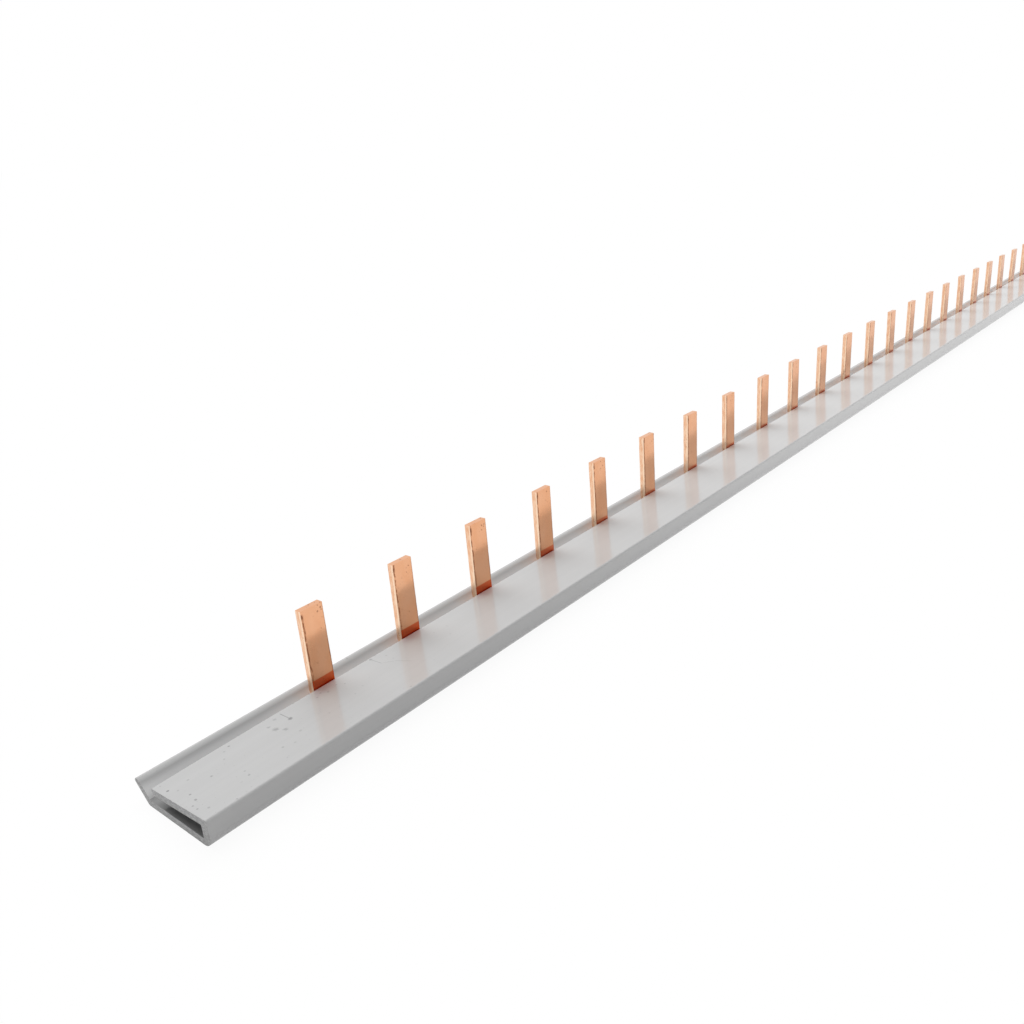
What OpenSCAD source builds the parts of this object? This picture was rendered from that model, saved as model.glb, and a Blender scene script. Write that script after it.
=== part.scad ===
// Pin-type comb busbar, single pole: a stamped copper comb slid into an extruded insulating profile.
// +X runs along the bar, +Y points to the lip side, +Z is the way the pins stand.
// The origin is on the underside, in the middle of the bar's length and depth.

/* [Poles] */
// Distance from one pin to the next, one modular device wide
pole_pitch = 17.8; // [12:0.1:27]
// Number of pins
pole_count = 54; // [2:1:57]

/* [Copper comb] */
// Thickness of the copper strip
strip_t = 1.2; // [0.8:0.1:1.4]
// Width of a pin
pin_w = 4; // [3:0.1:6]
// Height of the pins' tips above the rear edge of the top plate
pin_reach = 12.7; // [9:0.1:18]
// Inside radius of the bend between the backbone and a pin
bend_r = 1.4; // [0.8:0.1:1.6]
// Radius of the two corners of a pin's tip
tip_r = 0.8; // [0.2:0.1:1.4]
// Length of backbone past the middle of the first and the last pin
backbone_tail = 8.9; // [4:0.1:20]
// Radius of the small relief notch at each side of a pin's root
relief_r = 0.5; // [0.3:0.1:0.8]

/* [Insulating profile] */
// Length of profile past each end of the backbone, left empty
end_recess = 19.4; // [10:0.1:40]
// Depth from the front wall to the rear edge of the top plate
plate_d = 12.4; // [10:0.1:16]
// Fall of the top plate from its front edge to its rear edge
plate_fall = 0.65; // [0.2:0.05:1]
// Thickness of the top plate, the floor and the lip
wall_t = 1.1; // [0.9:0.05:1.4]
// Thickness of the front wall
front_wall_t = 1.45; // [1:0.05:2]
// Height of the lip's outer edge above the underside
lip_h = 3.35; // [2.8:0.05:4]
// Lean of the lip from the upright, in degrees
lip_lean = 42; // [34:1:48]
// Rise of the lip's top face from its outer edge to its inner edge
lip_top_rise = 0.2; // [0:0.05:0.4]

/* [Fits] */
// Gap between the front edge of the backbone and the front wall
slide_gap = 0.2; // [0.2:0.05:0.4]
// Gap between the backbone and the rear of the top plate over it
plate_gap = 0.25; // [0.15:0.05:0.4]
// Gap between the rear edge of the top plate and the front of the pins
pin_gap = 0.15; // [0.1:0.05:0.3]
// Gap between the outside of the bend and the lip
lip_gap = 0.9; // [0.5:0.05:1.4]

/* [Edge radii] */
// Bottom corner of the front wall
front_bottom_r = 1.25; // [0.3:0.05:1.6]
// Top corner of the front wall
front_top_r = 0.4; // [0.1:0.05:0.8]
// Corner between the underside and the lip
heel_r = 0.6; // [0.1:0.05:1]
// Outer corner of the lip's top
lip_outer_r = 0.55; // [0.1:0.05:0.6]
// Inner corner of the lip's top
lip_inner_r = 0.2; // [0.05:0.05:0.3]
// Rear edge of the top plate
plate_edge_r = 0.1; // [0.05:0.05:0.15]
// Inside corners of the cavity
cavity_r = 0.2; // [0.05:0.05:0.2]

/* [Hidden] */

// along the bar
pin_span = (pole_count - 1) * pole_pitch;
backbone_l = pin_span + 2 * backbone_tail;
profile_l = backbone_l + 2 * end_recess;

// The section is drawn as [depth, height], with depth 0 at the outside of the front wall
// and height 0 at the underside. The backbone lies on the floor.
backbone_top = wall_t + strip_t;
plate_rear_h = backbone_top + plate_gap + wall_t;
front_h = plate_rear_h + plate_fall;
tip_h = plate_rear_h + pin_reach;

backbone_front = front_wall_t + slide_gap;
pin_front = plate_d + pin_gap;
bend_outer_r = bend_r + strip_t;
bend_centre = [pin_front - bend_r, wall_t + bend_outer_r];

// The nose of the top plate: its underside is cut back to stay clear of the inside of the bend.
nose_r = bend_r - pin_gap / 2;
nose_h = bend_centre[1] - sqrt(pow(nose_r, 2) - pow(bend_r - pin_gap, 2));
nose_depth = bend_centre[0] + sqrt(pow(nose_r, 2) - pow(bend_r - plate_gap, 2));

// The lip leans by lip_lean and runs lip_gap outside the bend.
lip_w = wall_t / cos(lip_lean);
lip_foot = bend_centre[0] + (bend_outer_r * (1 - sin(lip_lean)) + lip_gap) / cos(lip_lean);
heel = lip_foot + lip_w - wall_t * tan(lip_lean);
lip_inner_h = lip_h + lip_top_rise;
lip_outer_top = [heel + lip_h * tan(lip_lean), lip_h];
lip_inner_top = [heel - lip_w + lip_inner_h * tan(lip_lean), lip_inner_h];

corner_steps = 6;
$fn = 48;

function plate_under(depth) = front_h - wall_t - plate_fall * depth / plate_d;

// The outline of the profile: each entry is a corner [depth, height] and its radius.
profile_corners = [
    [[0, 0], front_bottom_r],
    [[heel, 0], heel_r],
    [lip_outer_top, lip_outer_r],
    [lip_inner_top, lip_inner_r],
    [[lip_foot, wall_t], cavity_r],
    [[front_wall_t, wall_t], cavity_r],
    [[front_wall_t, plate_under(front_wall_t)], cavity_r],
    [[nose_depth, plate_under(nose_depth)], 0],
    [[plate_d, nose_h], 0],
    [[plate_d, plate_rear_h], plate_edge_r],
    [[0, front_h], front_top_r]
];

profile_outline = rounded_outline(profile_corners);
section_d = max([for (point = profile_outline) point[0]]);

function unit(v) = v / norm(v);
function rounded_corner(before, corner, after, r) =
    let (
        u = unit(before - corner),
        v = unit(after - corner),
        half_angle = acos(u * v) / 2,
        run = r / tan(half_angle),
        centre = corner + unit(u + v) * r / sin(half_angle),
        start = corner + u * run - centre,
        finish = corner + v * run - centre
    )
    r == 0 ? [corner] : [for (i = [0 : corner_steps])
        centre + r * unit(start * (corner_steps - i) + finish * i)];

function rounded_outline(corners) =
    let (n = len(corners))
    [for (i = [0 : n - 1])
        each rounded_corner(
            corners[(i + n - 1) % n][0], corners[i][0], corners[(i + 1) % n][0], corners[i][1])];

// Runs a [depth, height] section along the bar, in the middle of its length.
module along_bar(length) {
    translate([-length / 2, -section_d / 2, 0])
        rotate([90, 0, 90])
            linear_extrude(length) children();
}

module insulating_profile() {
    color([0.8, 0.8, 0.8])
        along_bar(profile_l) polygon(profile_outline);
}

// One pin from the side: a stretch of backbone, the bend and the upright.
module pin_section() {
    translate([bend_centre[0] - strip_t, wall_t])
        square([strip_t, strip_t]);
    translate(bend_centre)
        intersection() {
            difference() {
                circle(bend_outer_r);
                circle(bend_r);
            }
            translate([0, -bend_outer_r]) square(bend_outer_r);
        }
    translate([pin_front, bend_centre[1]])
        square([strip_t, tip_h - bend_centre[1]]);
}

// One pin from the front: full width at the root, with rounded corners at the tip.
module pin_front_outline() {
    shoulder_h = tip_h - tip_r;
    translate([-pin_w / 2, 0])
        square([pin_w, shoulder_h]);
    translate([-pin_w / 2 + tip_r, 0])
        square([pin_w - 2 * tip_r, tip_h]);
    for (side = [-1, 1])
        translate([side * (pin_w / 2 - tip_r), shoulder_h])
            circle(tip_r);
}

module pin() {
    intersection() {
        along_bar(pin_w) pin_section();
        translate([0, section_d, 0])
            rotate([90, 0, 0])
                linear_extrude(2 * section_d) pin_front_outline();
    }
}

// The flat strip, with a round relief notch at each side of every pin's root.
module backbone() {
    strip_d = bend_centre[0] - backbone_front;
    translate([0, backbone_front - section_d / 2, wall_t])
        linear_extrude(strip_t)
            difference() {
                translate([-backbone_l / 2, 0]) square([backbone_l, strip_d]);
                for (i = [0 : pole_count - 1], side = [-1, 1])
                    translate([pin_x(i) + side * (pin_w / 2 + relief_r), strip_d])
                        circle(relief_r);
            }
}

function pin_x(i) = i * pole_pitch - pin_span / 2;

module copper_comb() {
    color([0.9, 0.6, 0.42]) {
        backbone();
        for (i = [0 : pole_count - 1])
            translate([pin_x(i), 0, 0]) pin();
    }
}

insulating_profile();
copper_comb();
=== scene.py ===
import bmesh
import bpy
import math
import random
from mathutils import Matrix, Vector


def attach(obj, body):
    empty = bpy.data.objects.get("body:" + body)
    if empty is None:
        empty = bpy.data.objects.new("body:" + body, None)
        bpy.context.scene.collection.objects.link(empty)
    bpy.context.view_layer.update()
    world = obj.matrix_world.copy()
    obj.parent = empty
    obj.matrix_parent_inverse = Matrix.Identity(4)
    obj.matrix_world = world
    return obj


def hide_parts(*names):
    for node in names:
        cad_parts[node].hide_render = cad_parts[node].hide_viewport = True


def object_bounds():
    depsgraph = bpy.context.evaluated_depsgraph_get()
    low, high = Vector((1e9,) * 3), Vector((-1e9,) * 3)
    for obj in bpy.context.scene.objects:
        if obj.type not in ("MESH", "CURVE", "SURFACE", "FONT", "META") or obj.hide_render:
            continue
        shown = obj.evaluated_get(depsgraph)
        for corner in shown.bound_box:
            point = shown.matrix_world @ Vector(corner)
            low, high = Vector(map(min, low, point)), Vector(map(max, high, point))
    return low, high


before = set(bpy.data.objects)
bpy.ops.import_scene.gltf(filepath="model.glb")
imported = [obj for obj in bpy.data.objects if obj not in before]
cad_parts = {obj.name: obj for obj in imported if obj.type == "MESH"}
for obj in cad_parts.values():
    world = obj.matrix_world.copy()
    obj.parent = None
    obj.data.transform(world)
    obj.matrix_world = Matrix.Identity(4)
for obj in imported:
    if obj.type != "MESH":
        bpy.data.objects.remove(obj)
cadLow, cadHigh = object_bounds()
mm = 0.001
print("frame loaded:", ", ".join(sorted(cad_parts)))

# a place in the section is a depth behind the front wall and a height above the underside, in mm
sectionDepth = (cadHigh.y - cadLow.y) / mm
barEnd = cadHigh.x / mm


def inSection(depth, height, x=0):
    return Vector((x * mm, (depth - sectionDepth / 2) * mm, height * mm))


def deselectAll():
    bpy.ops.object.select_all(action="DESELECT")


def makeActive(piece):
    deselectAll()
    piece.select_set(True)
    bpy.context.view_layer.objects.active = piece


def startEditing(piece):
    makeActive(piece)
    bpy.ops.object.mode_set(mode="EDIT")


def stopEditing():
    bpy.ops.object.mode_set(mode="OBJECT")


def addBox(name, low, high):
    deselectAll()
    bpy.ops.mesh.primitive_cube_add(size=1, location=(low + high) / 2)
    piece = bpy.context.active_object
    piece.name = name
    piece.scale = high - low
    bpy.ops.object.transform_apply(location=True, rotation=True, scale=True)
    return piece


def middleOf(item):
    # middle of a point, edge or face, as x, depth and height
    if isinstance(item, bmesh.types.BMVert):
        spot = item.co
    elif isinstance(item, bmesh.types.BMEdge):
        spot = (item.verts[0].co + item.verts[1].co) / 2
    else:
        spot = item.calc_center_median()
    return spot.x / mm, spot.y / mm + sectionDepth / 2, spot.z / mm


def pick(kind, test):
    # selects the points, edges or faces that pass test(item, x, depth, height)
    modes = {"verts": "VERT", "edges": "EDGE", "faces": "FACE"}
    bpy.ops.mesh.select_mode(type=modes[kind])
    bpy.ops.mesh.select_all(action="DESELECT")
    mesh = bmesh.from_edit_mesh(bpy.context.edit_object.data)
    for item in [item for item in getattr(mesh, kind) if test(item, *middleOf(item))]:
        item.select_set(True)
    mesh.select_flush_mode()
    bmesh.update_edit_mesh(bpy.context.edit_object.data)


def near(a, b, slack=0.02):
    return abs(a - b) < slack


def runsAlong(edge, axis):
    return abs((edge.verts[1].co - edge.verts[0].co).normalized()[axis]) > 0.99


def moveBy(depth=0, height=0):
    bpy.ops.transform.translate(value=(0, depth * mm, height * mm))


def extrudeBy(depth=0, height=0):
    bpy.ops.mesh.extrude_region_move(TRANSFORM_OT_translate={"value": (0, depth * mm, height * mm)})


def cutAcross(place, normal):
    bpy.ops.mesh.select_all(action="SELECT")
    bpy.ops.mesh.bisect(plane_co=place, plane_no=normal)


def roundEdges(run, steps, shape=0.5):
    bpy.ops.mesh.bevel(offset=run * mm, segments=steps, profile=shape, affect="EDGES",
                       clamp_overlap=False)


def applyModifier(piece, modifier):
    makeActive(piece)
    bpy.ops.object.modifier_apply(modifier=modifier.name)


def finishPiece(piece, material, node, smoothTo=32):
    piece.data.materials.clear()
    piece.data.materials.append(material)
    makeActive(piece)
    bpy.ops.object.shade_smooth_by_angle(angle=math.radians(smoothTo))
    flats = piece.modifiers.new("flats", "WEIGHTED_NORMAL")
    flats.keep_sharp = True
    applyModifier(piece, flats)
    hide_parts(node)
    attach(piece, "root")
    print(piece.name, "done,", len(piece.data.polygons), "faces")


# one output of a shader node: + - * / on it add Math nodes
class Socket:
    def __init__(self, tree, output=None):
        self.tree = tree
        self.output = output

    def node(self, kind, settings=None, inputs=None, out=0):
        made = self.tree.nodes.new(kind)
        for name, value in (settings or {}).items():
            setattr(made, name, value)
        for name, value in (inputs or {}).items():
            if isinstance(value, Socket):
                self.tree.links.new(value.output, made.inputs[name])
            else:
                made.inputs[name].default_value = value
        return Socket(self.tree, made.outputs[out])

    def math(self, operation, *terms):
        return self.node("ShaderNodeMath", {"operation": operation}, dict(enumerate(terms)))

    def __add__(self, other):
        return self.math("ADD", self, other)

    def __radd__(self, other):
        return self.math("ADD", other, self)

    def __sub__(self, other):
        return self.math("SUBTRACT", self, other)

    def __rsub__(self, other):
        return self.math("SUBTRACT", other, self)

    def __mul__(self, other):
        return self.math("MULTIPLY", self, other)

    def __rmul__(self, other):
        return self.math("MULTIPLY", other, self)

    def __truediv__(self, other):
        return self.math("DIVIDE", self, other)

    def __rtruediv__(self, other):
        return self.math("DIVIDE", other, self)

    def size(self):
        return self.math("ABSOLUTE", self)

    def root(self):
        return self.math("SQRT", self)

    def fraction(self):
        return self.math("FRACT", self)

    def larger(self, other):
        return self.math("MAXIMUM", self, other)

    def rise(self, low, high):
        # 0 below low, 1 above high and smooth between; with low above high it falls
        limits = {"Value": self, "From Min": low, "From Max": high}
        return self.node("ShaderNodeMapRange", {"interpolation_type": "SMOOTHSTEP"}, limits)

    def mixed(self, rgb, amount):
        # this colour where amount is 0, and rgb where it is 1
        settings = {"data_type": "RGBA", "clamp_factor": True}
        return self.node("ShaderNodeMix", settings, {0: amount, 6: self, 7: (*rgb, 1)}, out=2)

    def colour(self, rgb):
        made = self.node("ShaderNodeRGB")
        made.output.default_value = (*rgb, 1)
        return made

    def scaled(self, x, y, z):
        # a place stretched by a factor along each axis
        return self.node("ShaderNodeMapping", inputs={"Vector": self, "Scale": (x, y, z)})

    def noise(self, scale, detail=2):
        return self.node("ShaderNodeTexNoise", inputs={"Vector": self, "Scale": scale, "Detail": detail})

    def specks(self, scale, share, radius):
        # small round specks in a share of the cells
        cells = {"Vector": self, "Scale": scale}
        distance = self.node("ShaderNodeTexVoronoi", inputs=cells)
        draw = self.node("ShaderNodeTexVoronoi", inputs=cells, out=1)
        chance = draw.node("ShaderNodeSeparateColor", inputs={"Color": draw})
        return distance.rise(radius, 0.5 * radius) * chance.rise(1 - share, 1 - 0.6 * share)

    def bump(self, strength, distance):
        heights = {"Height": self, "Strength": strength, "Distance": distance}
        return self.node("ShaderNodeBump", inputs=heights)


def newMaterial(name):
    material = bpy.data.materials.new(name)
    material.use_nodes = True
    material.node_tree.nodes.clear()
    return material, Socket(material.node_tree)


def closeMaterial(surface):
    output = surface.tree.nodes.new("ShaderNodeOutputMaterial")
    surface.tree.links.new(surface.output, output.inputs["Surface"])


def placeOnPiece(start):
    # the place in the object, its x, depth and height in mm, and the normal's own parts
    place = start.node("ShaderNodeTexCoord", out="Object")
    parts = [start.node("ShaderNodeSeparateXYZ", inputs={0: place}, out=axis) for axis in range(3)]
    facing = start.node("ShaderNodeNewGeometry", out="Normal")
    turned = [start.node("ShaderNodeSeparateXYZ", inputs={0: facing}, out=axis) for axis in range(3)]
    return place, parts[0] / mm, parts[1] / mm + sectionDepth / 2, parts[2] / mm, turned


pvcLook = {
    "grey": (0.535, 0.535, 0.535),
    "streak": (0.55, 0.55, 0.55),
    "paintedFarLight": (0.84, 0.84, 0.84),
    "paintedLowLipLight": (0.85, 0.85, 0.85),
    "paintedGrooveShade": (0.2, 0.2, 0.2),
    "sawn": (0.33, 0.33, 0.33),
    # dirt colour, also used for the painted shade along the bottom edges
    "dirt": (0.11, 0.11, 0.11),
    "roughness": 0.1,
    "farFrom": 10,         # mm from the left end where the grey starts to pale
    "farTo": 210,          # and where it is palest
    "farOnPlate": 0.24,    # share of that on the plate; the front takes all of it
    "speckReach": 60,      # mm from the end that the fine specks thin out over
    "dirtShare": 0.95,
    "paintedUnderShade": 0.6,
    # marks on the plate: mm from the end, depth, radius, strength
    "marks": [
        (19.6, 9.4, 0.45, 0.75), (16.8, 9.0, 0.6, 0.4), (17.6, 7.8, 0.5, 0.35),
        (16.6, 10.3, 0.35, 0.35), (18.3, 11.2, 0.35, 0.25), (18.5, 5.7, 0.3, 0.2),
        (14.7, 4.6, 0.3, 0.3), (36.8, 11.9, 0.4, 0.45), (0.9, 9.9, 0.22, 0.8),
        (1.8, 5.0, 0.26, 0.6), (2.0, 6.6, 0.2, 0.5), (5.7, 7.5, 0.26, 0.4),
        (3.6, 9.6, 0.26, 0.3), (8.5, 3.4, 0.22, 0.45), (8.7, 4.6, 0.22, 0.3),
        (0.9, 11.7, 0.15, 0.35), (4.7, 0.5, 0.2, 0.4), (8.8, 9.3, 0.2, 0.25),
    ],
    # fine scratches: mm from the end and depth of both ends, half width, strength
    "scratches": [
        (19.6, 9.4, 19.6, 11.9, 0.12, 0.45), (36.9, 9.4, 36.8, 11.9, 0.1, 0.35),
        (37.0, 9.6, 38.4, 8.2, 0.08, 0.25), (38.4, 8.4, 39.8, 5.8, 0.09, 0.22),
    ],
}


def scratchMask(fromEnd, depth, scratch):
    # 1 on a short straight line between two places
    startX, startD, endX, endD, half, strength = scratch
    length = math.hypot(endX - startX, endD - startD)
    alongX, alongD = (endX - startX) / length, (endD - startD) / length
    run = (fromEnd - startX) * alongX + (depth - startD) * alongD
    side = ((fromEnd - startX) * alongD - (depth - startD) * alongX).size()
    inside = (run - length / 2).size().rise(length / 2, length / 2 - 0.3)   # soft at both ends
    return side.rise(half, 0.3 * half) * inside * strength


def greyPvc():
    look = pvcLook
    material, start = newMaterial("greyPvc")
    place, x, depth, height, facing = placeOnPiece(start)
    fromEnd = x + barEnd

    # slow streaks along the bar, as the die leaves them
    streaks = place.scaled(6, 900, 900).noise(1, 2)
    colour = start.colour(look["grey"]).mixed(look["streak"], streaks.rise(0.35, 0.7))

    # painted light: paler farther along the bar, most of all in front
    frontFace = facing[1].rise(-0.6, -0.9)
    farShare = look["farOnPlate"] + frontFace * (1 - look["farOnPlate"])
    colour = colour.mixed(look["paintedFarLight"], fromEnd.rise(look["farFrom"], look["farTo"]) * farShare)
    # painted light: the lip's inner wall is paler low down, where it brightens towards the groove
    lowOnLipLight = depth.rise(13.2, 13.4) * height.rise(3.1, 2.1) * facing[1].rise(-0.3, -0.6)
    colour = colour.mixed(look["paintedLowLipLight"], lowOnLipLight)
    # painted shade: the groove's floor is darkened where the plate and the lip shade it
    paintedGrooveShade = facing[2].rise(0.6, 0.9) * height.rise(1.7, 1.25)
    colour = colour.mixed(look["paintedGrooveShade"], paintedGrooveShade * 0.8)

    # fine dust specks, thick by the sawn end and thin farther on
    onPlate = facing[2].rise(0.8, 0.95)
    patches = place.noise(170, 2).rise(0.45, 0.62)
    thinning = fromEnd.rise(look["speckReach"], 4) * 0.8 + 0.12
    dust = place.specks(1100, 0.3, 0.26) * patches * thinning
    dust = dust.larger(place.specks(2300, 0.16, 0.22) * thinning * 0.45) * onPlate

    # the marks that sit in known places, with ragged edges
    ragged = place.noise(2600, 2)
    spots = [scratchMask(fromEnd, depth, scratch) for scratch in look["scratches"]]
    for markX, markDepth, radius, strength in look["marks"]:
        away = (fromEnd - markX) * (fromEnd - markX) + (depth - markDepth) * (depth - markDepth)
        away = away.root() + (ragged - 0.5) * 1.1 * radius
        spots.append(away.rise(radius, 0.25 * radius) * strength)
    marks = spots[0]
    for spot in spots[1:]:
        marks = marks.larger(spot)
    dirt = (dust * 0.5).larger(marks * onPlate)
    colour = colour.mixed(look["dirt"], dirt * look["dirtShare"])
    # painted shade: the underside and a band along the bottom edges are darkened with the dirt colour
    paintedUnderShade = facing[2].rise(-0.35, -0.75).larger(height.rise(0.4, 0.05))
    colour = colour.mixed(look["dirt"], paintedUnderShade * look["paintedUnderShade"])

    # the sawn ends are duller and darker: an even painted shade over the end faces, with fine darker saw
    # lines
    sawnEnd = facing[0].size().rise(0.8, 0.95)
    sawLines = place.scaled(1, 700, 2600).noise(2.2, 3)
    colour = colour.mixed(look["sawn"], sawnEnd * (0.25 + sawLines.rise(0.35, 0.65) * 0.9))

    roughness = look["roughness"] + streaks * 0.05 + sawnEnd * 0.35 + dirt * 0.25
    relief = sawLines * sawnEnd * 0.5 + streaks * 0.05 + dirt * 0.12 + place.noise(900, 2) * 0.02
    surface = start.node("ShaderNodeBsdfPrincipled", inputs={
        "Base Color": colour, "Roughness": roughness, "IOR": 1.5, "Normal": relief.bump(0.6, 0.0002)})
    closeMaterial(surface)
    return material


profileSize = {
    "wall": 1.1, "frontWall": 1.45, "frontHeight": 4.3, "plateDepth": 12.4, "plateFall": 0.65,
    "noseDepth": 11.81, "noseHeight": 3.26, "lipFoot": 13.52, "heel": 14.01,
    "lipOuter": (16.95, 3.36), "lipInner": (15.49, 3.29),
    "short": 0.01,           # the profile ends this much inside the bar's full length
    # how far each round reaches from its corner
    "bottomRound": 1.65, "frontRound": 0.42, "heelRound": 0.27, "noseRound": 0.14,
    "lipOuterRound": 0.95, "lipOuterShape": 0.44, "lipInnerRound": 0.5, "lipFootRound": 0.1,
    "cavityRound": 0.2,
    "endBreak": 0.07,        # broken edge round the sawn ends
    "endCuts": 16,           # cross cuts by each end, and the distance between them
    "endCutEvery": 1.5,
    "farCuts": 9,            # cross cuts to each side of the middle, farther apart
    "farCutEvery": 49,
    "flapSag": 0.26,         # how far the plate springs down at the very end
    "flapReach": 24,         # and over what length from the end
}


def plateTop(depth):
    return profileSize["frontHeight"] - profileSize["plateFall"] * depth / profileSize["plateDepth"]


def roundCorner(depth, height, run, steps, shape=0.5):
    # rounds the edge along the bar at one corner of the section; run is how far the round reaches
    pick("edges", lambda e, x, d, h: runsAlong(e, 0) and near(d, depth) and near(h, height))
    roundEdges(run, steps, shape)


def makeProfile():
    size = profileSize
    wall, frontWall, end = size["wall"], size["frontWall"], barEnd - size["short"]
    piece = addBox("greyProfile", inSection(0, 0, -end), inSection(size["heel"], wall, end))
    startEditing(piece)

    # the lip leans out of the floor's rear face
    pick("edges", lambda e, x, d, h: runsAlong(e, 0) and near(d, size["heel"]) and near(h, wall))
    moveBy(depth=size["lipFoot"] - size["heel"])
    outDepth, outHeight = size["lipOuter"][0] - size["heel"], size["lipOuter"][1]
    pick("faces", lambda f, x, d, h: f.normal.y > 0.5)
    extrudeBy(outDepth, outHeight)
    topDepth, topHeight = size["lipFoot"] + outDepth, wall + outHeight
    pick("edges", lambda e, x, d, h: runsAlong(e, 0) and near(d, topDepth) and near(h, topHeight))
    moveBy(size["lipInner"][0] - topDepth, size["lipInner"][1] - topHeight)

    # the front wall rises from a strip of the floor
    cutAcross(inSection(frontWall, 0), (0, 1, 0))
    pick("faces", lambda f, x, d, h: f.normal.z > 0.9 and d < frontWall)
    extrudeBy(height=plateTop(frontWall) - 2 * wall)
    extrudeBy(height=size["frontHeight"] + wall - plateTop(frontWall))
    pick("edges", lambda e, x, d, h:
         runsAlong(e, 0) and near(d, frontWall) and near(h, size["frontHeight"]))
    moveBy(height=plateTop(frontWall) - size["frontHeight"])

    # the plate runs back over the cavity, and its nose is cut up underneath
    underside = plateTop(frontWall) - wall
    pick("faces", lambda f, x, d, h: f.normal.y > 0.9 and near(d, frontWall) and h > underside)
    extrudeBy(size["noseDepth"] - frontWall, plateTop(size["noseDepth"]) - plateTop(frontWall))
    rearTop = plateTop(size["plateDepth"])
    extrudeBy(size["plateDepth"] - size["noseDepth"], rearTop - plateTop(size["noseDepth"]))
    rearUnder = rearTop - wall
    pick("edges", lambda e, x, d, h:
         runsAlong(e, 0) and near(d, size["plateDepth"]) and near(h, rearUnder))
    moveBy(height=size["noseHeight"] - rearUnder)

    # one flat end face, so that the rounds run clean
    bpy.ops.mesh.select_all(action="SELECT")
    bpy.ops.mesh.dissolve_limited(angle_limit=math.radians(0.5))

    roundCorner(0, 0, size["bottomRound"], 8)
    roundCorner(0, size["frontHeight"], size["frontRound"], 6)
    roundCorner(size["heel"], 0, size["heelRound"], 6)
    roundCorner(*size["lipOuter"], size["lipOuterRound"], 8, size["lipOuterShape"])
    roundCorner(*size["lipInner"], size["lipInnerRound"], 8)
    roundCorner(size["plateDepth"], rearTop, size["noseRound"], 4)
    roundCorner(size["lipFoot"], wall, size["lipFootRound"], 3)
    roundCorner(frontWall, wall, size["cavityRound"], 3)
    roundCorner(frontWall, underside, size["cavityRound"], 3)

    # the sawn ends: edges barely broken
    pick("edges", lambda e, x, d, h: near(abs(x), end, 0.001) and not runsAlong(e, 0))
    bpy.ops.mesh.bevel(offset=size["endBreak"] * mm, segments=2, affect="EDGES", clamp_overlap=True)

    # cross cuts: close together by the ends, where the plate springs down
    for side in (-1, 1):
        for cut in range(1, size["endCuts"] + 1):
            cutAcross((side * (barEnd - size["endCutEvery"] * cut) * mm, 0, 0), (1, 0, 0))
    for cut in range(-size["farCuts"], size["farCuts"] + 1):
        cutAcross((cut * size["farCutEvery"] * mm, 0, 0), (1, 0, 0))
    stopEditing()
    springPlateDown(piece)
    return piece


def springPlateDown(piece):
    # by the ends the plate sags, most at its rear edge
    size = profileSize
    flap = piece.vertex_groups.new(name="flap")
    for point in piece.data.vertices:
        x, depth, height = abs(point.co.x) / mm, point.co.y / mm + sectionDepth / 2, point.co.z / mm
        nearPlate = height > plateTop(depth) - size["wall"] - 0.8 and depth < size["plateDepth"] + 0.2
        fromEnd = barEnd - x
        if nearPlate and fromEnd < size["flapReach"] and height > size["wall"] + 0.3:
            free = (1 - fromEnd / size["flapReach"]) ** 2
            flap.add([point.index], free * max(0, depth / size["plateDepth"]) ** 1.6, "REPLACE")
    sag = piece.modifiers.new("sag", "DISPLACE")
    sag.direction = "Z"
    sag.mid_level = 0
    sag.strength = -size["flapSag"] * mm
    sag.vertex_group = flap.name
    applyModifier(piece, sag)
    piece.vertex_groups.clear()


copperLook = {
    "metal": (0.83, 0.44, 0.255),
    "warm": (0.81, 0.405, 0.22),
    "sheared": (1.0, 0.74, 0.54),
    "burr": (0.27, 0.085, 0.03),
    "footReflection": (0.62, 0.08, 0.014),
    "tarnish": (0.3, 0.12, 0.06),
    "roughness": 0.13,
    "leftBurr": -1.82,       # where the burr lines run, from the pin's middle
    "rightBurr": 1.9,
    "tornFrom": 13.0,        # depth where the sheared sides turn from bright to torn
    "footHeight": 1.35,      # height of the painted deep orange reflection above the plate, on the first pins
    "farFootHeight": 0.5,    # and on the rest
    "firstPinsTo": 60,       # mm from the left end that the first pins reach
    "restFrom": 115,
}


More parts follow.
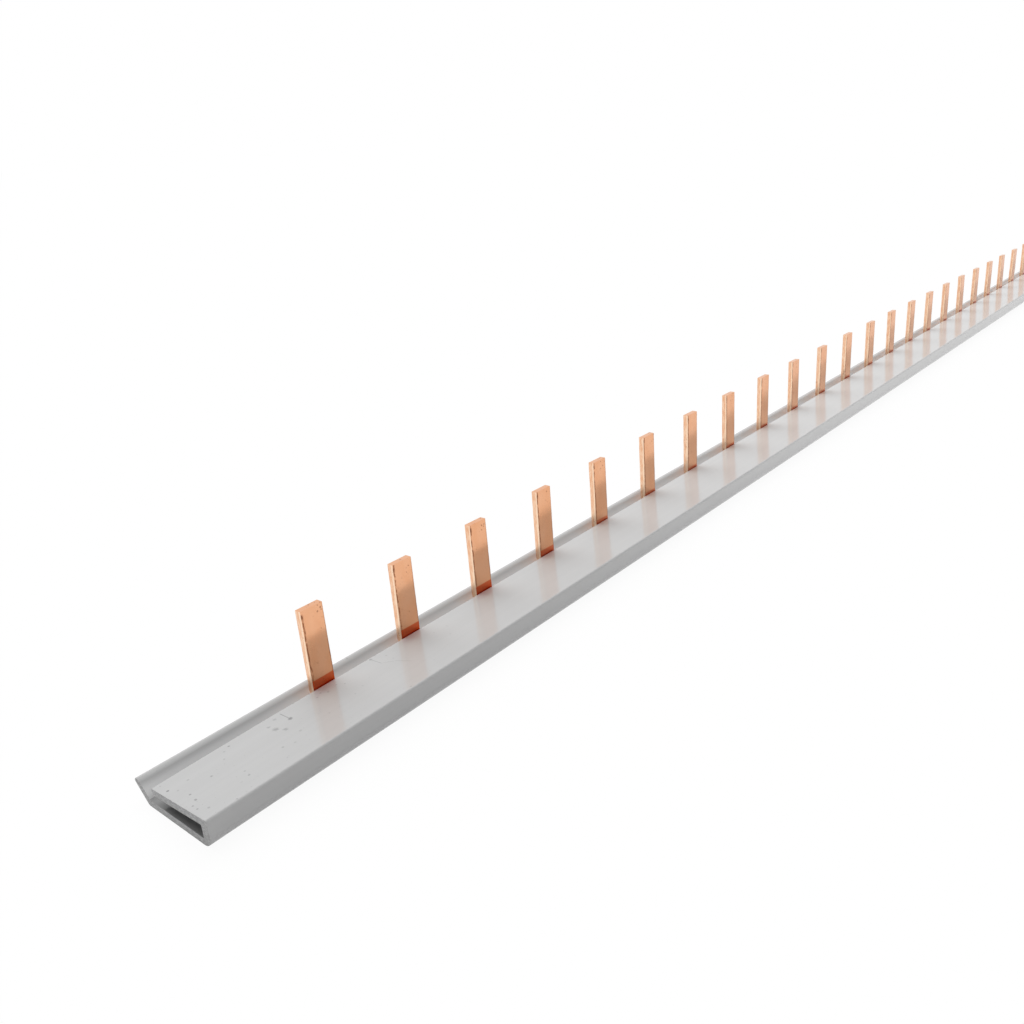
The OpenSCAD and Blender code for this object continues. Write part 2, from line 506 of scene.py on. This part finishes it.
def bareCopper():
    look, size = copperLook, combSize
    material, start = newMaterial("bareCopper")
    place, x, depth, height, facing = placeOnPiece(start)
    turn = (x + size["pitch"] * size["count"] / 2) / size["pitch"]
    across = (turn.fraction() - 0.5) * size["pitch"]
    abovePlate = height - plateTop(profileSize["plateDepth"])

    front = facing[1].rise(-0.6, -0.9)
    side = facing[0].size().rise(0.6, 0.9)
    cloud = place.scaled(1, 1, 0.5).noise(420, 4)
    colour = start.colour(look["metal"]).mixed(look["warm"], cloud.rise(0.35, 0.7))

    # sheared sides: painted pale in front, partly a real burnished band and partly a painted reflection of
    # the bright floor, and a grainy torn band behind
    grain = place.scaled(1, 3, 0.5).noise(1500, 3)
    torn = (depth + (grain - 0.5) * 0.35).rise(look["tornFrom"], look["tornFrom"] + 0.15)
    colour = colour.mixed(look["sheared"], side * (0.95 - torn * 0.3))
    colour = colour.mixed(look["warm"], side * torn * grain.rise(0.4, 0.6) * 0.7)

    # wavy burr line down the front's edges, heavier on the left
    wander = place.scaled(0.2, 0.2, 1).noise(620, 3)
    leftLine = (across - look["leftBurr"] + (wander - 0.5) * 0.5).size().rise(0.2, 0.04)
    rightLine = (across - look["rightBurr"] + (wander - 0.5) * 0.3).size().rise(0.12, 0.02)
    broken = place.noise(900, 2).rise(0.3, 0.55)
    lowDown = abovePlate.rise(8.5, 4)
    line = (leftLine * 0.85 * broken).larger(rightLine * (0.25 + lowDown * 0.6)) * front
    colour = colour.mixed(look["burr"], line)

    # pits and flecks, more of them by the tip, and a few tarnished smudges
    nearTip = abovePlate.rise(9.6, 11.6) * across.rise(-0.6, 0.4)
    pits = place.specks(1900, 0.25, 0.26) * (0.4 + nearTip * 0.6)
    tipCorner = across.rise(-1.45, -1.85) * (abovePlate - 11.75).size().rise(0.55, 0.15)
    pits = pits.larger(place.specks(1400, 0.6, 0.3) * nearTip * 0.8).larger(tipCorner * front)
    smudge = place.noise(700, 3).rise(0.62, 0.72) * place.noise(2400, 2).rise(0.45, 0.6) * lowDown
    colour = colour.mixed(look["tarnish"], (pits * 0.7).larger(smudge * 0.5))

    # painted reflection: a deep orange band where the pin comes out of the slot
    firstPins = (x + barEnd).rise(look["restFrom"], look["firstPinsTo"])
    taller = look["footHeight"] - look["farFootHeight"]
    footTop = look["farFootHeight"] + firstPins * taller + (wander - 0.5) * 0.25
    footReflection = (abovePlate - footTop).rise(0.12, -0.12) * front
    corner = abovePlate.rise(0.9, 0.1) * across.rise(-1.5, 2)
    colour = colour.mixed(look["footReflection"], footReflection * (0.5 + firstPins * 0.35 + corner * 0.15))

    roughness = look["roughness"] + cloud * 0.06 + side * 0.12 + line * 0.3 + pits * 0.3
    relief = place.noise(1300, 3) * 0.1 + side * grain * 0.5 - line * 0.4 - pits * 0.3 + cloud * 0.12
    surface = start.node("ShaderNodeBsdfPrincipled", inputs={
        "Base Color": colour, "Roughness": roughness, "Metallic": 1.0, "Normal": relief.bump(0.35, 0.0001)})
    closeMaterial(surface)
    return material


combSize = {
    "pitch": 17.8, "count": 54, "strip": 1.2, "front": 1.65, "floor": 1.1,
    "bendDepth": 11.15, "bendHeight": 3.7, "bendSteps": 8,
    "pinWidth": 4, "tip": 16.34, "tipLeft": 0.7, "tipRight": 0.55,
    "edge": 0.1,           # worn round of the sheared edges
    "cuts": 14,            # level cuts up a pin, the first this far above the bend
    "firstCut": 0.4,
    "cutEvery": 0.85,
    "notchAside": 0.5,     # from the pin's side to the middle of its relief notch
    "notchRadius": 0.475,
    "lean": 0.5,           # a pin may lean this many degrees
    "back": 1.2,           # and all of them lean back by this many
    "ragged": 0.05,        # how far the sheared edges wander, and how often
    "raggedEvery": 0.9,
    "seed": 7,
}


def cutReliefNotch(module, side):
    size = combSize
    deselectAll()
    spot = inSection(size["bendDepth"], size["floor"], side * (size["pinWidth"] / 2 + size["notchAside"]))
    through = 5 * size["strip"] * mm
    radius = size["notchRadius"] * mm
    bpy.ops.mesh.primitive_cylinder_add(vertices=20, radius=radius, depth=through, location=spot)
    cutter = bpy.context.active_object
    bpy.ops.object.transform_apply(location=True, rotation=True, scale=True)
    notch = module.modifiers.new("notch", "BOOLEAN")
    notch.operation = "DIFFERENCE"
    notch.solver = "EXACT"
    notch.object = cutter
    applyModifier(module, notch)
    bpy.data.objects.remove(cutter)


def makePinModule():
    # one pitch of backbone with its pin, in the middle of the bar
    size = combSize
    half, pinHalf = size["pitch"] / 2, size["pinWidth"] / 2
    stripTop = size["floor"] + size["strip"]
    module = addBox("pinModule", inSection(size["front"], size["floor"], -half),
                    inSection(size["bendDepth"], stripTop, half))
    for side in (-1, 1):
        cutReliefNotch(module, side)
    startEditing(module)
    for side in (-1, 1):
        cutAcross((side * pinHalf * mm, 0, 0), (1, 0, 0))

    # the pin's root turns up through the bend and runs on to the tip
    pick("faces", lambda f, x, d, h: f.normal.y > 0.9 and abs(x) < pinHalf and near(d, size["bendDepth"]))
    # with no window, a positive angle turns down, so the quarter turn up is negative
    bpy.ops.mesh.spin(steps=size["bendSteps"], angle=-math.radians(90), axis=(1, 0, 0), dupli=False,
                      center=inSection(size["bendDepth"], size["bendHeight"]))
    pick("faces", lambda f, x, d, h: near(h, size["bendHeight"]) and d > size["bendDepth"] + 0.5)
    extrudeBy(height=size["tip"] - size["bendHeight"])
    pick("faces", lambda f, x, d, h: near(abs(x), half, 0.001))
    bpy.ops.mesh.delete(type="FACE")
    for side, run in ((-1, size["tipLeft"]), (1, size["tipRight"])):
        pick("edges", lambda e, x, d, h:
             runsAlong(e, 1) and near(x, side * pinHalf) and near(h, size["tip"]))
        roundEdges(run, 6)
    bpy.ops.mesh.select_all(action="SELECT")
    bpy.ops.mesh.normals_make_consistent(inside=False)

    # sheared edges of the pin, from the bend to the tip
    pick("edges", lambda e, x, d, h:
         d > size["bendDepth"] + 0.1 and len(e.link_faces) == 2 and e.calc_face_angle() > 1)
    roundEdges(size["edge"], 2)
    for cut in range(size["cuts"]):
        cutHeight = size["bendHeight"] + size["firstCut"] + size["cutEvery"] * cut
        cutAcross(inSection(0, cutHeight), (0, 0, 1))
    stopEditing()
    return module


def makeComb():
    size = combSize
    draw = random.Random(size["seed"])
    module = makePinModule()
    firstX = -(size["count"] - 1) / 2 * size["pitch"]
    bend = inSection(size["bendDepth"] + 2, size["bendHeight"])
    copies = []
    for number in range(size["count"]):
        makeActive(module)
        bpy.ops.object.duplicate(linked=False)
        copy = bpy.context.active_object
        copies.append(copy)
        startEditing(copy)
        pick("verts", lambda v, x, d, h: h > size["bendHeight"] + 0.1)
        turn = math.radians(size["back"] + draw.uniform(-size["lean"], size["lean"]))
        bpy.ops.transform.rotate(value=turn, orient_axis="X", center_override=bend)
        bpy.ops.mesh.select_all(action="SELECT")
        bpy.ops.transform.translate(value=((firstX + number * size["pitch"]) * mm, 0, 0))
        stopEditing()
    bpy.data.objects.remove(module)

    deselectAll()
    for copy in copies:
        copy.select_set(True)
    bpy.context.view_layer.objects.active = copies[0]
    bpy.ops.object.join()
    comb = bpy.context.active_object
    comb.name = "copperComb"
    combEnd = size["count"] / 2 * size["pitch"]
    startEditing(comb)
    bpy.ops.mesh.select_all(action="SELECT")
    bpy.ops.mesh.remove_doubles(threshold=0.002 * mm)
    for side in (-1, 1):
        pick("edges", lambda e, x, d, h: near(x, side * combEnd, 0.001) and len(e.link_faces) == 1)
        bpy.ops.mesh.edge_face_add()
    bpy.ops.mesh.select_all(action="SELECT")
    bpy.ops.mesh.normals_make_consistent(inside=False)
    stopEditing()
    roughenShearedEdges(comb, firstX)
    return comb


def roughenShearedEdges(comb, firstX):
    # the sheared edges wander a little, always inwards
    size = combSize
    sheared = comb.vertex_groups.new(name="sheared")
    for point in comb.data.vertices:
        across = (point.co.x / mm - firstX + size["pitch"] / 2) % size["pitch"] - size["pitch"] / 2
        if abs(across) > size["pinWidth"] / 2 - 0.15 and point.co.z / mm > size["bendHeight"]:
            sheared.add([point.index], 1, "REPLACE")
    clouds = bpy.data.textures.new("shearNoise", "CLOUDS")
    clouds.noise_scale = size["raggedEvery"] * mm
    wander = comb.modifiers.new("wander", "DISPLACE")
    wander.texture = clouds
    wander.texture_coords = "LOCAL"
    wander.mid_level = 1
    wander.strength = size["ragged"] * mm
    wander.vertex_group = sheared.name
    applyModifier(comb, wander)
    comb.vertex_groups.clear()


stageLook = {
    "floorHalf": 5,
    "floorWhite": 0.85,
    "floorGlow": 1.013,    # just white, together with the matt share
    "shadowShare": 0.07,   # share of the floor's look that takes the shadow
    "skyOnObject": 0.38,
    "softbox": 2.35,
    "softboxWidth": 70,    # degrees across, as seen from the bar
    "softboxBack": 32,     # degrees behind the bar
    "softboxAside": 18,    # and to its far end
}


def cameraOrMirror(start):
    # 1 for what the camera sees, straight or mirrored or through glass
    rays = [start.node("ShaderNodeLightPath", out=name)
            for name in ("Is Camera Ray", "Is Glossy Ray", "Is Transmission Ray")]
    return rays[0].larger(rays[1]).larger(rays[2])


def makeFloor():
    deselectAll()
    bpy.ops.mesh.primitive_plane_add(size=2 * stageLook["floorHalf"], location=(0, 0, 0))
    floor = bpy.context.active_object
    floor.name = "studioFloor"
    material, start = newMaterial("studioWhite")
    matt = start.node("ShaderNodeBsdfDiffuse", inputs={"Color": (*[stageLook["floorWhite"]] * 3, 1)})
    glow = {"Color": (1, 1, 1, 1), "Strength": stageLook["floorGlow"]}
    bright = start.node("ShaderNodeEmission", inputs=glow)
    share = cameraOrMirror(start) * (1 - stageLook["shadowShare"])
    closeMaterial(start.node("ShaderNodeMixShader", inputs={0: share, 1: matt, 2: bright}))
    floor.data.materials.append(material)


def makeSky():
    world = bpy.data.worlds.new("studioSky")
    bpy.context.scene.world = world
    world.use_nodes = True
    world.node_tree.nodes.clear()
    start = Socket(world.node_tree)
    strength = stageLook["skyOnObject"] + cameraOrMirror(start) * (1 - stageLook["skyOnObject"])
    sky = start.node("ShaderNodeBackground", inputs={"Color": (1, 1, 1, 1), "Strength": strength})
    output = world.node_tree.nodes.new("ShaderNodeOutputWorld")
    world.node_tree.links.new(sky.output, output.inputs["Surface"])


def makeLight():
    deselectAll()
    bpy.ops.object.light_add(type="SUN", location=(0, 0, 1.5))
    softbox = bpy.context.active_object
    softbox.name = "softbox"
    softbox.data.energy = stageLook["softbox"]
    softbox.data.angle = math.radians(stageLook["softboxWidth"])
    softbox.visible_glossy = False
    back, aside = math.radians(stageLook["softboxBack"]), math.radians(stageLook["softboxAside"])
    softbox.rotation_euler = (-back, aside, 0)


# place in mm, angles in degrees: heading from +X towards +Y, tilt above the level
cameraPlace = {
    "at": (-542.47, -96.36, 77.46), "heading": 41.21, "tilt": -22.18, "roll": -3.95, "lens": 33.28,
}


def makeCamera():
    bpy.ops.object.camera_add()
    camera = bpy.context.active_object
    camera.data.lens = cameraPlace["lens"]
    camera.data.sensor_width = 36
    camera.data.clip_start = 0.005
    heading = Matrix.Rotation(math.radians(cameraPlace["heading"] - 90), 4, "Z")
    tilt = Matrix.Rotation(math.radians(90 + cameraPlace["tilt"]), 4, "X")
    roll = Matrix.Rotation(math.radians(cameraPlace["roll"]), 4, "Z")
    camera.matrix_world = Matrix.Translation(Vector(cameraPlace["at"]) * mm) @ heading @ tilt @ roll
    bpy.context.scene.camera = camera


print("grey profile")
finishPiece(makeProfile(), greyPvc(), "insulating_profile")
print("copper comb")
finishPiece(makeComb(), bareCopper(), "copper_comb", 40)
print("floor, light and camera")
makeFloor()
makeSky()
makeLight()
makeCamera()
bpy.context.scene.view_settings.view_transform = "Standard"
